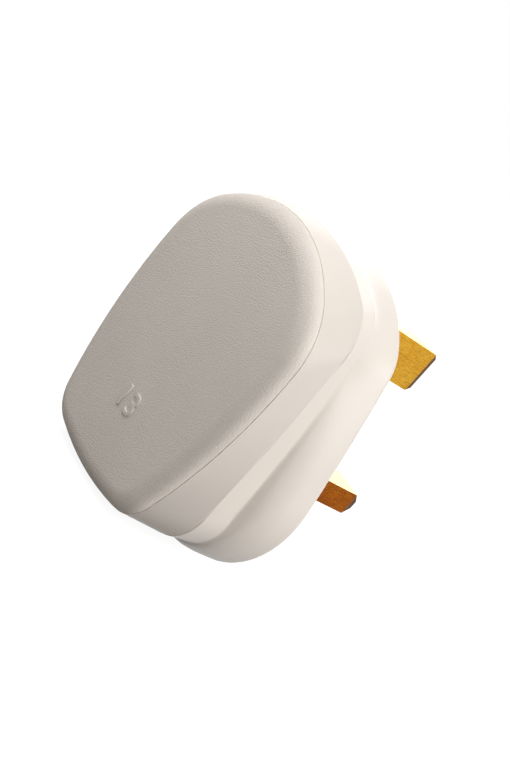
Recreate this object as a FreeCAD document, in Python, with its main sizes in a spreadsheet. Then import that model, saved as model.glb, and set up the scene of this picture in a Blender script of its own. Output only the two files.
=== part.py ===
import FreeCAD, Part
import Sketcher
import math
import os
from types import SimpleNamespace

# A rewirable British three pin plug, in millimetres.
# X is to the right seen from behind, Y points out along the pins, Z is up towards the earth pin.
# The origin is on the pin face, midway between the line pin and the neutral pin.
# A depth is a distance behind the pin face, so a depth of 5 is the plane y = -5.

os.makedirs("parts", exist_ok=True)

SIZES = {
    # standard pins and their places
    "pin_pitch": 22.2, "earth_rise": 22.23, "pin_thickness": 4.0,
    "earth_width": 8.0, "earth_length": 22.73, "line_width": 6.35, "line_length": 17.7,
    "line_tip_length": 1.5, "line_tip_side": 0.5, "line_tip_face": 1.3,
    "earth_tip_length": 1.3, "earth_tip_side": 0.5, "earth_tip_face": 0.8, "pin_slot_gap": 0.1,
    # depths of the moulding's stages behind the pin face
    "face_edge_radius": 1.2, "shoulder_start": 3.4, "crease_depth": 9.0, "crease_blend": 0.5,
    "parting_depth": 14.0, "body_depth": 22.0, "cap_height": 2.6, "cap_step": 0.12,
    "rear_edge_reach": 3.0, "rear_edge_rise": 2.4, "wall": 2.0, "rear_wall": 2.0, "floor": 3.0,
    "parting_edge_bevel": 0.2, "tongue_height": 1.4, "tongue_thickness": 0.9, "tongue_gap": 0.15,
    # outlines: the crown lies a rise above the earth pin's middle, and the centres of the shoulder
    # and corner arcs lie an inset towards the middle from the line pin's and neutral pin's centres
    # outline of the rear cap
    "cap_rise": 9.37, "cap_crown_radius": 26.0, "cap_shoulder_inset": 3.0,
    "cap_shoulder_radius": 13.0, "cap_side_radius": 80.0, "cap_corner_inset": 1.7,
    "cap_corner_radius": 7.4, "cap_bottom": 20.0, "cap_bottom_radius": 58.0,
    # outline at the parting line
    "parting_rise": 10.37, "parting_crown_radius": 40.0, "parting_shoulder_inset": -1.1,
    "parting_shoulder_radius": 9.0, "parting_side_radius": 400.0, "parting_corner_inset": -2.1,
    "parting_corner_radius": 8.0, "parting_bottom": 19.5, "parting_bottom_radius": 58.0,
    # outline of the neck, where the finger shoulders start
    "neck_rise": 10.27, "neck_crown_radius": 32.0, "neck_shoulder_inset": 1.3,
    "neck_shoulder_radius": 9.0, "neck_side_radius": 400.0, "neck_corner_inset": -2.2,
    "neck_corner_radius": 8.0, "neck_bottom": 19.0, "neck_bottom_radius": 58.0,
    # outline of the rim round the pin face
    "rim_rise": 9.97, "rim_crown_radius": 23.0, "rim_shoulder_inset": 1.5,
    "rim_shoulder_radius": 9.0, "rim_side_radius": 300.0, "rim_corner_inset": 2.4,
    "rim_corner_radius": 15.5, "rim_bottom": 20.6, "rim_bottom_radius": 60.0,
    # outline of the well's floor inside the base
    "well_rise": 7.17, "well_crown_radius": 20.0, "well_shoulder_inset": 4.6,
    "well_shoulder_radius": 8.0, "well_side_radius": 300.0, "well_corner_inset": -0.9,
    "well_corner_radius": 6.0, "well_bottom": 16.6, "well_bottom_radius": 56.0,
    # cover screw, its brass nut and its washer
    "screw_rise": 9.0, "screw_radius": 1.95, "screw_head_radius": 3.3, "screw_head_height": 2.2,
    "screw_slot_width": 0.9, "screw_slot_depth": 1.0, "screw_end_depth": 13.0,
    "screw_hole_gap": 0.15, "head_recess_depth": 2.6, "head_recess_gap": 0.3,
    "base_boss_radius": 4.0, "base_boss_depth": 5.4, "washer_thickness": 0.8, "washer_radius": 3.5,
    "nut_radius": 2.8, "nut_length": 7.0, "nut_gap": 0.05, "cover_boss_radius": 4.4, "seat_gap": 0.1,
    # partitions and seats moulded in the base
    "rib_thickness": 1.2, "rib_headroom": 2.0, "side_rib_inset": 5.5, "side_rib_drop": 6.5,
    "side_rib_rise": 11.0, "earth_rib_x": 4.9, "earth_rib_length": 9.0, "earth_rib_drop": 5.2,
    # cord entry and cord grip
    "cord_radius": 4.5, "cord_depth": 9.5, "saddle_half_width": 7.0, "saddle_length": 3.0,
    "cord_tab_lift": 2.0, "cord_tab_setback": 0.7,
    "post_x": 7.6, "post_drop": 11.3, "post_radius": 3.0,
    "bar_length": 21.0, "bar_width": 5.0, "bar_thickness": 2.4, "bar_end_radius": 2.45,
    "bar_ridge_radius": 1.2, "bar_ridge_length": 8.0,
    "grip_screw_radius": 1.45, "grip_screw_margin": 0.6, "grip_head_radius": 2.7,
    "grip_head_height": 1.7, "grip_hole_gap": 0.1,
    # terminals
    "block_width": 6.5, "earth_block_height": 9.0, "earth_block_depth": 10.5,
    "neutral_block_height": 8.4, "neutral_block_depth": 10.2, "wire_hole_radius": 1.6,
    "wire_hole_length": 7.0, "wire_hole_depth": 7.2, "terminal_screw_radius": 1.7,
    "terminal_head_radius": 2.4, "terminal_head_height": 1.8, "terminal_screw_lift": 0.3,
    "terminal_slot_width": 0.7, "terminal_slot_depth": 0.8, "block_edge_bevel": 0.5,
    # fuse and its clips
    "fuse_length": 25.4, "fuse_drop": 7.0, "fuse_depth": 10.0, "fuse_cap_radius": 3.15,
    "fuse_cap_length": 6.2, "fuse_cap_wall": 0.3, "fuse_bore_radius": 1.9, "fuse_wire_radius": 0.15,
    "clip_thickness": 0.5, "clip_length": 5.0, "clip_leg_x": 2.1, "clip_floor_drop": 4.0,
    "clip_gap": 0.1, "clip_wrap_angle": 35.0, "clip_lip_length": 1.1, "clip_lip_angle": 65.0,
    "rivet_radius": 0.9, "rivet_head_radius": 1.6, "rivet_head_height": 0.5, "rivet_gap": 0.05,
    "line_head_margin": 0.5, "live_seat_height": 1.5, "live_block_inset": 4.5, "live_block_width": 5.8,
    "live_block_low": 19.4, "live_block_height": 6.0, "live_block_depth": 10.6, "live_plate_low": 12.0,
    "live_plate_width": 6.0, "fuse_rib_thickness": 1.6, "fuse_rib_low": 1.0, "fuse_rib_high": 10.0,
}

doc = FreeCAD.newDocument("three_pin_plug")
sheet = doc.addObject("Spreadsheet::Sheet", "Sizes")


class Size:
    """A number kept together with the formula that gives it."""

    def __init__(self, value, text):
        self.value = value
        self.text = text

    def __add__(self, other):
        other = size(other)
        return Size(self.value + other.value, f"({self.text} + {other.text})")

    def __sub__(self, other):
        other = size(other)
        return Size(self.value - other.value, f"({self.text} - {other.text})")

    def __rsub__(self, other):
        return size(other) - self

    def __mul__(self, other):
        other = size(other)
        return Size(self.value * other.value, f"({self.text} * {other.text})")

    def __truediv__(self, other):
        other = size(other)
        return Size(self.value / other.value, f"({self.text} / {other.text})")

    def __neg__(self):
        return Size(-self.value, f"(0 - {self.text})")


def size(number):
    """A plain number as a Size, so that both can be added."""
    if isinstance(number, Size):
        return number
    return Size(float(number), repr(float(number)))


def root(number):
    return Size(math.sqrt(number.value), f"sqrt({number.text})")


def fill_sheet():
    """Writes one row a size and gives back the sizes by name."""
    named = {}
    for row, (name, value) in enumerate(SIZES.items(), start=1):
        sheet.set(f"A{row}", name)
        sheet.set(f"B{row}", str(value))
        sheet.setAlias(f"B{row}", name)
        named[name] = Size(value, f"Sizes.{name}")
    doc.recompute()
    return SimpleNamespace(**named)


S = fill_sheet()
ZERO = size(0)


# Places that several pieces share

line_x = S.pin_pitch / 2
neck_depth = S.crease_depth + S.crease_blend
cap_step_depth = S.body_depth - S.cap_height
cavity_end = S.body_depth - S.rear_wall
saddle_start = S.wall / 2 - S.parting_bottom
saddle_end = S.saddle_length + S.wall - S.parting_bottom
fuse_low = -S.fuse_drop
fuse_high = S.fuse_length - S.fuse_drop
lower_clip_z = fuse_low + S.fuse_cap_length / 2
upper_clip_z = fuse_high - S.fuse_cap_length / 2
clip_foot_depth = S.fuse_depth - S.clip_floor_drop - S.clip_thickness
side_rib_x = line_x - S.side_rib_inset
earth_rib_low = S.earth_rise - S.earth_rib_drop
rib_depth = S.parting_depth - S.rib_headroom
live_seat_depth = S.floor + S.live_seat_height
live_block_left = line_x - S.live_block_inset
live_block_right = live_block_left + S.live_block_width
live_block_high = S.live_block_low + S.live_block_height
live_screw_x = live_block_left + S.live_block_width / 2
live_screw_z = S.live_block_low + S.live_block_height / 2
boss_end_depth = S.base_boss_depth + S.washer_thickness + S.seat_gap * 2
bar_rear_depth = S.parting_depth
post_depth = bar_rear_depth - S.bar_thickness
grip_screw_reach = post_depth - S.floor - S.grip_screw_margin


# Helpers for sketches and features

def new_body(name):
    body = doc.addObject("PartDesign::Body", name)
    body.Label = name
    return body


def new_sketch(body, name, depth, plane="XZ_Plane"):
    """A sketch parallel to the pin face, its own x along X and its own y along Z."""
    sketch = body.newObject("Sketcher::SketchObject", name)
    features = body.Origin.OriginFeatures
    sketch.AttachmentSupport = (next(f for f in features if f.Role == plane), [""])
    sketch.MapMode = "FlatFace"
    sketch.setExpression("AttachmentOffset.Base.z", size(depth).text)
    return sketch


def bind(sketch, constraint, number):
    """Adds a constraint and ties its value to the sheet."""
    index = sketch.addConstraint(constraint)
    sketch.setExpression(f"Constraints[{index}]", number.text)


def place_point(sketch, geometry, end, x, y):
    bind(sketch, Sketcher.Constraint("DistanceX", -1, 1, geometry, end, x.value), x)
    bind(sketch, Sketcher.Constraint("DistanceY", -1, 1, geometry, end, y.value), y)


def polygon(sketch, points):
    """A closed outline of straight lines whose corners are tied to the sheet."""
    points = [(size(x), size(y)) for x, y in points]
    first = sketch.GeometryCount
    count = len(points)
    for i in range(count):
        here, there = points[i], points[(i + 1) % count]
        start = FreeCAD.Vector(here[0].value, here[1].value, 0)
        end = FreeCAD.Vector(there[0].value, there[1].value, 0)
        sketch.addGeometry(Part.LineSegment(start, end))
    for i in range(count):
        sketch.addConstraint(Sketcher.Constraint("Coincident", first + i, 2, first + (i + 1) % count, 1))
        place_point(sketch, first + i, 1, points[i][0], points[i][1])


def rectangle(sketch, left, right, low, high):
    polygon(sketch, [(left, low), (right, low), (right, high), (left, high)])


def circle(sketch, x, y, radius):
    x, y, radius = size(x), size(y), size(radius)
    centre = FreeCAD.Vector(x.value, y.value, 0)
    index = sketch.addGeometry(Part.Circle(centre, FreeCAD.Vector(0, 0, 1), radius.value))
    bind(sketch, Sketcher.Constraint("Radius", index, radius.value), radius)
    place_point(sketch, index, 3, x, y)


OUTLINE_PARTS = ("top", "crown_radius", "shoulder_x", "shoulder_radius", "side_radius",
                 "corner_x", "corner_radius", "bottom", "bottom_radius")


# How far along the finger shoulder its sections lie, and in its hollow also how far they have come
# from the rim's outline to the neck's
ELLIPSE_STEPS = (0, 0.3, 0.55, 0.75, 0.88, 0.95)
HOLLOW_STEPS = ((0.1, 0.9), (0.5, 0.975), (1, 1))
# How far round the cap's edge its sections lie, in degrees
CUSHION_TURNS = (0, 18, 36, 54, 72, 90)


def stage_sizes(stage):
    """The outline sizes of one stage, placed from the pins."""
    own = {part: getattr(S, f"{stage}_{part}") for part in OUTLINE_PARTS if hasattr(S, f"{stage}_{part}")}
    own["top"] = S.earth_rise + getattr(S, f"{stage}_rise")
    own["shoulder_x"] = line_x - getattr(S, f"{stage}_shoulder_inset")
    own["corner_x"] = line_x - getattr(S, f"{stage}_corner_inset")
    return own


def mixed(first, second, share):
    """The sizes of an outline part way from one stage to another."""
    return {part: first[part] * (1 - share) + second[part] * share for part in OUTLINE_PARTS}


def outline(sketch, own, inset=ZERO):
    """The plug's outline at one stage: crown, shoulders, sides, corners and bottom, all arcs that
    meet smoothly. An inset moves the whole outline inwards by one wall."""
    if isinstance(own, str):
        own = stage_sizes(own)
    crown_y = own["top"] - own["crown_radius"]
    bottom_y = own["bottom_radius"] - own["bottom"]
    value = {part: number.value for part, number in own.items()}

    shoulder = (value["shoulder_x"], crown_y.value + math.sqrt(
        (value["crown_radius"] - value["shoulder_radius"]) ** 2 - value["shoulder_x"] ** 2))
    corner = (value["corner_x"], bottom_y.value - math.sqrt(
        (value["bottom_radius"] - value["corner_radius"]) ** 2 - value["corner_x"] ** 2))
    side = circle_centre(shoulder, value["side_radius"] - value["shoulder_radius"],
                         corner, value["side_radius"] - value["corner_radius"])

    crown_turn = math.atan2(shoulder[1] - crown_y.value, shoulder[0])
    shoulder_turn = math.atan2(shoulder[1] - side[1], shoulder[0] - side[0])
    corner_turn = math.atan2(corner[1] - side[1], corner[0] - side[0])
    bottom_turn = math.atan2(corner[1] - bottom_y.value, corner[0])
    half, full = math.pi, 2 * math.pi

    arcs = (
        ("crown_radius", (0, crown_y.value), crown_turn, half - crown_turn),
        ("shoulder_radius", (-shoulder[0], shoulder[1]), half - crown_turn, half - shoulder_turn),
        ("side_radius", (-side[0], side[1]), half - shoulder_turn, half - corner_turn),
        ("corner_radius", (-corner[0], corner[1]), half - corner_turn, half - bottom_turn),
        ("bottom_radius", (0, bottom_y.value), half - bottom_turn, full + bottom_turn),
        ("corner_radius", corner, full + bottom_turn, full + corner_turn),
        ("side_radius", side, full + corner_turn, full + shoulder_turn),
        ("shoulder_radius", shoulder, full + shoulder_turn, full + crown_turn),
    )
    first = sketch.GeometryCount
    for kind, (x, y), start, end in arcs:
        radius = own[kind] - inset
        whole = Part.Circle(FreeCAD.Vector(x, y, 0), FreeCAD.Vector(0, 0, 1), radius.value)
        sketch.addGeometry(Part.ArcOfCircle(whole, start, end))
    for i in range(8):
        sketch.addConstraint(Sketcher.Constraint("Tangent", first + i, 2, first + (i + 1) % 8, 1))
    for i in (0, 4, 5, 6, 7):
        radius = own[arcs[i][0]] - inset
        bind(sketch, Sketcher.Constraint("Radius", first + i, radius.value), radius)
    for left, right in ((1, 7), (2, 6), (3, 5)):
        sketch.addConstraint(Sketcher.Constraint("Equal", first + left, first + right))
    place_point(sketch, first, 3, ZERO, crown_y)
    place_point(sketch, first + 4, 3, ZERO, bottom_y)
    for sign, shoulder_arc, corner_arc in ((-1, 1, 3), (1, 7, 5)):
        across = own["shoulder_x"] * sign
        bind(sketch, Sketcher.Constraint("DistanceX", -1, 1, first + shoulder_arc, 3, across.value), across)
        across = own["corner_x"] * sign
        bind(sketch, Sketcher.Constraint("DistanceX", -1, 1, first + corner_arc, 3, across.value), across)


def circle_centre(one, one_reach, two, two_reach):
    """The point at one_reach from one and two_reach from two that lies on the inner side."""
    apart = math.dist(one, two)
    along = (one_reach ** 2 - two_reach ** 2 + apart ** 2) / (2 * apart)
    aside = math.sqrt(one_reach ** 2 - along ** 2)
    step = ((two[0] - one[0]) / apart, (two[1] - one[1]) / apart)
    return (one[0] + along * step[0] + aside * step[1], one[1] + along * step[1] - aside * step[0])


def add(body, kind, name, sketch, length, reverse=False):
    """A pad or a pocket of one sketch. A pad grows rearwards and a pocket sinks towards the pins."""
    feature = body.newObject(f"PartDesign::{kind}", name)
    feature.Profile = sketch
    feature.Type = "Length"
    feature.setExpression("Length", size(length).text)
    feature.Reversed = reverse
    return feature


def loft(body, kind, name, first, *others):
    """A loft through sketches: straight walls between two, a smooth wall through more."""
    feature = body.newObject(f"PartDesign::{kind}", name)
    feature.Profile = first
    feature.Sections = list(others)
    feature.Ruled = len(others) == 1
    return feature


def round_edges(body, name, feature, radius, chosen, kind="Fillet"):
    """Rounds or bevels the edges of a feature that a test picks."""
    doc.recompute()
    names = [f"Edge{i}" for i, edge in enumerate(feature.Shape.Edges, start=1) if chosen(edge)]
    dressed = body.newObject(f"PartDesign::{kind}", name)
    dressed.Base = (feature, names)
    dressed.setExpression("Radius" if kind == "Fillet" else "Size", size(radius).text)
    return dressed


def at_depth(edge, depth):
    """True for an edge that lies wholly in the plane at one depth."""
    limits = edge.BoundBox
    level = -size(depth).value
    return abs(limits.YMin - level) < 1e-4 and abs(limits.YMax - level) < 1e-4


# Helpers for primitives

ALONG = {
    "up": FreeCAD.Rotation(),
    "rear": FreeCAD.Rotation(FreeCAD.Vector(1, 0, 0), 90),
    "pins": FreeCAD.Rotation(FreeCAD.Vector(1, 0, 0), -90),
    "right": FreeCAD.Rotation(FreeCAD.Vector(0, 1, 0), 90),
}


def put(thing, x, depth, z, way="up"):
    """Sets a primitive down at X, a depth and Z, with its own axis turned one way."""
    thing.Placement = FreeCAD.Placement(FreeCAD.Vector(), ALONG[way])
    thing.setExpression("Placement.Base.x", size(x).text)
    thing.setExpression("Placement.Base.y", (-size(depth)).text)
    thing.setExpression("Placement.Base.z", size(z).text)
    return thing


def block(name, left, right, shallow, deep, low, high):
    """A box from two X, two depths and two Z."""
    left, right, shallow, deep, low, high = map(size, (left, right, shallow, deep, low, high))
    thing = doc.addObject("Part::Box", name)
    thing.setExpression("Length", (right - left).text)
    thing.setExpression("Width", (deep - shallow).text)
    thing.setExpression("Height", (high - low).text)
    return put(thing, left, deep, low)


def rod(name, x, depth, z, way, radius, length):
    thing = doc.addObject("Part::Cylinder", name)
    thing.setExpression("Radius", size(radius).text)
    thing.setExpression("Height", size(length).text)
    return put(thing, x, depth, z, way)


def joined(name, pieces):
    thing = doc.addObject("Part::MultiFuse", name)
    thing.Shapes = pieces
    thing.Refine = True
    return thing


def cut(name, piece, tools):
    """A piece with tools taken from it."""
    tool = tools[0] if len(tools) == 1 else joined(f"{name}_tools", tools)
    thing = doc.addObject("Part::Cut", name)
    thing.Base = piece
    thing.Tool = tool
    thing.Label = name
    return thing


def make_base():
    """The pin side moulding: a rim, finger shoulders, a neck, and the compartments inside."""
    body = new_body("base")
    rim_face = new_sketch(body, "base_rim_face", ZERO)
    outline(rim_face, "rim")
    add(body, "Pad", "base_rim", rim_face, S.shoulder_start)
    finger_shoulders(body)

    neck_back = new_sketch(body, "base_neck_back", neck_depth)
    outline(neck_back, "neck")
    parting = new_sketch(body, "base_parting", S.parting_depth)
    outline(parting, "parting")
    walls = loft(body, "AdditiveLoft", "base_walls", neck_back, parting)
    faced = round_edges(body, "base_face_edge", walls, S.face_edge_radius, lambda edge: at_depth(edge, 0))
    round_edges(body, "base_parting_edge", faced, S.parting_edge_bevel,
                lambda edge: at_depth(edge, S.parting_depth), kind="Chamfer")

    well_mouth = new_sketch(body, "base_well_mouth", S.parting_depth)
    outline(well_mouth, "parting", S.wall)
    well_floor = new_sketch(body, "base_well_floor", S.floor)
    outline(well_floor, "well")
    loft(body, "SubtractiveLoft", "base_well", well_mouth, well_floor)

    rebate = new_sketch(body, "base_rebate", S.parting_depth)
    outline(rebate, "parting", S.wall - S.tongue_thickness - S.tongue_gap)
    add(body, "Pocket", "base_rebate_cut", rebate, S.tongue_height + S.tongue_gap)

    ribs = new_sketch(body, "base_ribs", S.floor)
    half_rib = S.rib_thickness / 2
    for side in (-1, 1):
        middle = side_rib_x * side
        rectangle(ribs, middle - half_rib, middle + half_rib, -S.side_rib_drop, S.side_rib_rise)
        middle = S.earth_rib_x * side
        rectangle(ribs, middle - half_rib, middle + half_rib, earth_rib_low,
                  earth_rib_low + S.earth_rib_length)
    add(body, "Pad", "base_partitions", ribs, rib_depth - S.floor)

    posts = new_sketch(body, "base_posts", S.floor)
    for side in (-1, 1):
        circle(posts, S.post_x * side, -S.post_drop, S.post_radius)
    add(body, "Pad", "base_grip_posts", posts, post_depth - S.floor)

    saddle = new_sketch(body, "base_saddle", S.floor)
    rectangle(saddle, -S.saddle_half_width, S.saddle_half_width, saddle_start, saddle_end)
    add(body, "Pad", "base_cord_saddle", saddle, S.parting_depth - S.floor)

    seats = new_sketch(body, "base_seats", S.floor)
    plate_half = S.live_plate_width / 2
    polygon(seats, [
        (line_x - plate_half, S.live_plate_low), (line_x + plate_half, S.live_plate_low),
        (line_x + plate_half, S.live_block_low), (live_block_right, S.live_block_low),
        (live_block_right, live_block_high), (live_block_left, live_block_high),
        (live_block_left, S.live_block_low), (line_x - plate_half, S.live_block_low)])
    add(body, "Pad", "base_live_seat", seats, S.live_seat_height)

    boss = new_sketch(body, "base_boss", S.floor)
    circle(boss, ZERO, S.screw_rise, S.base_boss_radius)
    add(body, "Pad", "base_screw_boss", boss, S.base_boss_depth - S.floor)

    holes = new_sketch(body, "base_holes", S.base_boss_depth)
    gap = S.pin_slot_gap
    half_width = S.line_width / 2 + gap
    half_thick = S.pin_thickness / 2 + gap
    half_earth = S.earth_width / 2 + gap
    for side in (-1, 1):
        middle = line_x * side
        rectangle(holes, middle - half_width, middle + half_width, -half_thick, half_thick)
    rectangle(holes, -half_thick, half_thick, S.earth_rise - half_earth, S.earth_rise + half_earth)
    circle(holes, ZERO, S.screw_rise, S.screw_radius + S.screw_hole_gap)
    add(body, "Pocket", "base_pin_slots", holes, S.base_boss_depth)

    recess = new_sketch(body, "base_recess", S.head_recess_depth)
    circle(recess, ZERO, S.screw_rise, S.screw_head_radius + S.head_recess_gap)
    add(body, "Pocket", "base_screw_recess", recess, S.head_recess_depth)

    grip_holes = new_sketch(body, "base_grip_holes", post_depth)
    for side in (-1, 1):
        circle(grip_holes, S.post_x * side, -S.post_drop, S.grip_screw_radius + S.grip_hole_gap)
    add(body, "Pocket", "base_grip_screw_holes", grip_holes, grip_screw_reach)

    cord_notch(body)
    return body


def finger_shoulders(body):
    """The rise from the neck to the rim, which the fingers pull on. It leaves the rim along a
    quarter of an ellipse, so it is steepest at the neck, where a small hollow curve takes it in."""
    run = S.crease_depth - S.shoulder_start
    steps = [(S.shoulder_start + run * along, 1 - math.sqrt(1 - along ** 2)) for along in ELLIPSE_STEPS]
    steps += [(S.crease_depth + S.crease_blend * along, share) for along, share in HOLLOW_STEPS]
    sketches = []
    for number, (depth, share) in enumerate(steps, start=1):
        sketch = new_sketch(body, f"base_shoulder_{number}", depth)
        outline(sketch, mixed(stage_sizes("rim"), stage_sizes("neck"), share))
        sketches.append(sketch)
    loft(body, "AdditiveLoft", "base_shoulders", *sketches)


def cord_notch(body):
    """The cord entry in the base: a notch with a round end, so that the cord is laid in from behind."""
    notch = new_sketch(body, "base_cord_entry", -(S.parting_bottom + S.wall), plane="XY_Plane")
    open_end = -(S.parting_depth + S.wall)
    corners = [(S.cord_radius, -S.cord_depth), (ZERO, S.cord_radius - S.cord_depth),
               (-S.cord_radius, -S.cord_depth), (-S.cord_radius, open_end), (S.cord_radius, open_end)]
    bent_outline(notch, corners, {0: S.cord_radius, 1: S.cord_radius}, (ZERO, -S.cord_depth))
    add(body, "Pocket", "base_cord_notch", notch, S.wall * 2 + S.saddle_length, reverse=True)


def cord_tab(body):
    """The tab that closes the notch from behind, with the other part of the round cord hole."""
    end_depth = S.cord_depth + S.cord_tab_lift
    half = S.cord_radius - S.tongue_gap
    tab = new_sketch(body, "cover_tab_outline", end_depth)
    rectangle(tab, -half, half, S.cord_tab_setback - S.parting_bottom, saddle_end)
    add(body, "Pad", "cover_cord_tab", tab, S.parting_depth + S.wall - end_depth)
    entry = new_sketch(body, "cover_cord_entry", -(S.parting_bottom + S.wall), plane="XY_Plane")
    circle(entry, ZERO, -S.cord_depth, S.cord_radius)
    add(body, "Pocket", "cover_cord_bore", entry, S.wall * 2 + S.saddle_length, reverse=True)


def make_cover():
    """The rear moulding: side walls, a thin step, and the matt cap with its rounded edge."""
    body = new_body("cover")
    parting = new_sketch(body, "cover_parting", S.parting_depth)
    outline(parting, "parting")
    step = new_sketch(body, "cover_step", cap_step_depth)
    outline(step, "cap")
    walls = loft(body, "AdditiveLoft", "cover_walls", parting, step)
    round_edges(body, "cover_parting_edge", walls, S.parting_edge_bevel,
                lambda edge: at_depth(edge, S.parting_depth), kind="Chamfer")

    cap = new_sketch(body, "cover_cap_outline", cap_step_depth)
    outline(cap, "cap", S.cap_step)
    add(body, "Pad", "cover_cap", cap, S.cap_height - S.rear_edge_rise)
    cushion_edge(body)

    mouth = new_sketch(body, "cover_mouth", S.parting_depth)
    outline(mouth, "parting", S.wall)
    end = new_sketch(body, "cover_cavity_end", cavity_end)
    outline(end, "cap", S.wall + S.cap_step)
    loft(body, "SubtractiveLoft", "cover_cavity", mouth, end)

    tongue = new_sketch(body, "cover_tongue_outline", S.parting_depth)
    outline(tongue, "parting", S.wall - S.tongue_thickness)
    outline(tongue, "parting", S.wall)
    add(body, "Pad", "cover_tongue", tongue, S.tongue_height, reverse=True)

    break_half = S.saddle_half_width + S.tongue_gap
    gap = new_sketch(body, "cover_tongue_break_outline", S.parting_depth - S.tongue_height)
    rectangle(gap, -break_half, break_half, saddle_start, saddle_end)
    add(body, "Pocket", "cover_tongue_break", gap, S.tongue_height, reverse=True)

    boss = new_sketch(body, "cover_boss_outline", cavity_end)
    circle(boss, ZERO, S.screw_rise, S.cover_boss_radius)
    add(body, "Pad", "cover_boss", boss, cavity_end - boss_end_depth, reverse=True)

    rib = new_sketch(body, "cover_fuse_rib_outline", cavity_end)
    half_rib = S.fuse_rib_thickness / 2
    rectangle(rib, line_x - half_rib, line_x + half_rib, S.fuse_rib_low, S.fuse_rib_high)
    rib_length = cavity_end - S.fuse_depth - S.fuse_cap_radius - S.seat_gap
    add(body, "Pad", "cover_fuse_rib", rib, rib_length, reverse=True)

    saddle = new_sketch(body, "cover_saddle_outline", cavity_end)
    rectangle(saddle, -S.saddle_half_width, S.saddle_half_width, saddle_start, saddle_end)
    add(body, "Pad", "cover_saddle", saddle, cavity_end - S.parting_depth - S.seat_gap, reverse=True)

    nut_hole = new_sketch(body, "cover_nut_hole_outline", boss_end_depth)
    circle(nut_hole, ZERO, S.screw_rise, S.nut_radius)
    add(body, "Pocket", "cover_nut_hole", nut_hole, S.nut_length + S.seat_gap, reverse=True)

    cord_tab(body)
    return body


def cushion_edge(body):
    """The cap's edge, rounded like a cushion: a quarter of an ellipse that reaches further in over
    the rear face than it rises."""
    start = S.body_depth - S.rear_edge_rise
    sketches = []
    for number, degrees in enumerate(CUSHION_TURNS, start=1):
        turn = math.radians(degrees)
        sketch = new_sketch(body, f"cover_cushion_{number}", start + S.rear_edge_rise * math.sin(turn))
        outline(sketch, "cap", S.cap_step + S.rear_edge_reach * (1 - math.cos(turn)))
        sketches.append(sketch)
    loft(body, "AdditiveLoft", "cover_cushion_edge", *sketches)


def pin_shank(body, name, x, z, width, height, length, tip):
    """A flat pin from the inner face of the floor to its tapered tip."""
    tip_length, tip_across, tip_up = tip
    section = new_sketch(body, f"{name}_section", S.floor)
    rectangle(section, x - width / 2, x + width / 2, z - height / 2, z + height / 2)
    add(body, "Pad", f"{name}_shank", section, length - tip_length + S.floor, reverse=True)

    taper_start = new_sketch(body, f"{name}_taper_start", tip_length - length)
    rectangle(taper_start, x - width / 2, x + width / 2, z - height / 2, z + height / 2)
    half_across = width / 2 - tip_across
    half_up = height / 2 - tip_up
    end = new_sketch(body, f"{name}_end", -length)
    rectangle(end, x - half_across, x + half_across, z - half_up, z + half_up)
    loft(body, "AdditiveLoft", f"{name}_tip", taper_start, end)


def terminal_block(body, name, x, z, height, depth, wire_from):
    """The square brass block on a pin's inner end, with a wire hole and a tapped screw hole."""
    section = new_sketch(body, f"{name}_block_section", S.floor)
    half = S.block_width / 2
    rectangle(section, x - half, x + half, z - height / 2, z + height / 2)
    raised = add(body, "Pad", f"{name}_block", section, depth - S.floor)
    round_edges(body, f"{name}_block_bevel", raised, S.block_edge_bevel,
                lambda edge: at_depth(edge, depth), kind="Chamfer")

    mouth = new_sketch(body, f"{name}_wire_mouth", ZERO, plane="XY_Plane")
    mouth_z = z + height / 2 * wire_from
    mouth.setExpression("AttachmentOffset.Base.z", mouth_z.text)
    circle(mouth, x, -S.wire_hole_depth, S.wire_hole_radius)
    add(body, "Pocket", f"{name}_wire_hole", mouth, S.wire_hole_length, reverse=wire_from < 0)

    tapped = new_sketch(body, f"{name}_tapping", depth)
    circle(tapped, x, z, S.terminal_screw_radius + S.screw_hole_gap)
    add(body, "Pocket", f"{name}_screw_hole", tapped, depth - S.wire_hole_depth)


def make_earth_pin():
    body = new_body("earth_pin")
    tip = (S.earth_tip_length, S.earth_tip_side, S.earth_tip_face)
    pin_shank(body, "earth", ZERO, S.earth_rise, S.pin_thickness, S.earth_width, S.earth_length, tip)
    terminal_block(body, "earth", ZERO, S.earth_rise, S.earth_block_height, S.earth_block_depth, -1)
    return body


def make_neutral_pin():
    body = new_body("neutral_pin")
    tip = (S.line_tip_length, S.line_tip_side, S.line_tip_face)
    pin_shank(body, "neutral", -line_x, ZERO, S.line_width, S.pin_thickness, S.line_length, tip)
    terminal_block(body, "neutral", -line_x, ZERO, S.neutral_block_height, S.neutral_block_depth, 1)
    return body


def make_line_pin():
    """The line pin has a flat head inside, which carries the lower fuse clip."""
    body = new_body("line_pin")
    tip = (S.line_tip_length, S.line_tip_side, S.line_tip_face)
    pin_shank(body, "line", line_x, ZERO, S.line_width, S.pin_thickness, S.line_length, tip)
    head = new_sketch(body, "line_head_outline", S.floor)
    half = S.line_width / 2
    low = lower_clip_z - S.clip_length / 2 - S.line_head_margin
    high = S.pin_thickness / 2 + S.line_head_margin
    rectangle(head, line_x - half, line_x + half, low, high)
    add(body, "Pad", "line_head", head, clip_foot_depth - S.floor)
    hole = new_sketch(body, "line_rivet_hole_outline", clip_foot_depth)
    circle(hole, line_x, lower_clip_z, S.rivet_radius + S.rivet_gap)
    add(body, "Pocket", "line_rivet_hole", hole, clip_foot_depth - S.floor)
    return body


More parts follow.
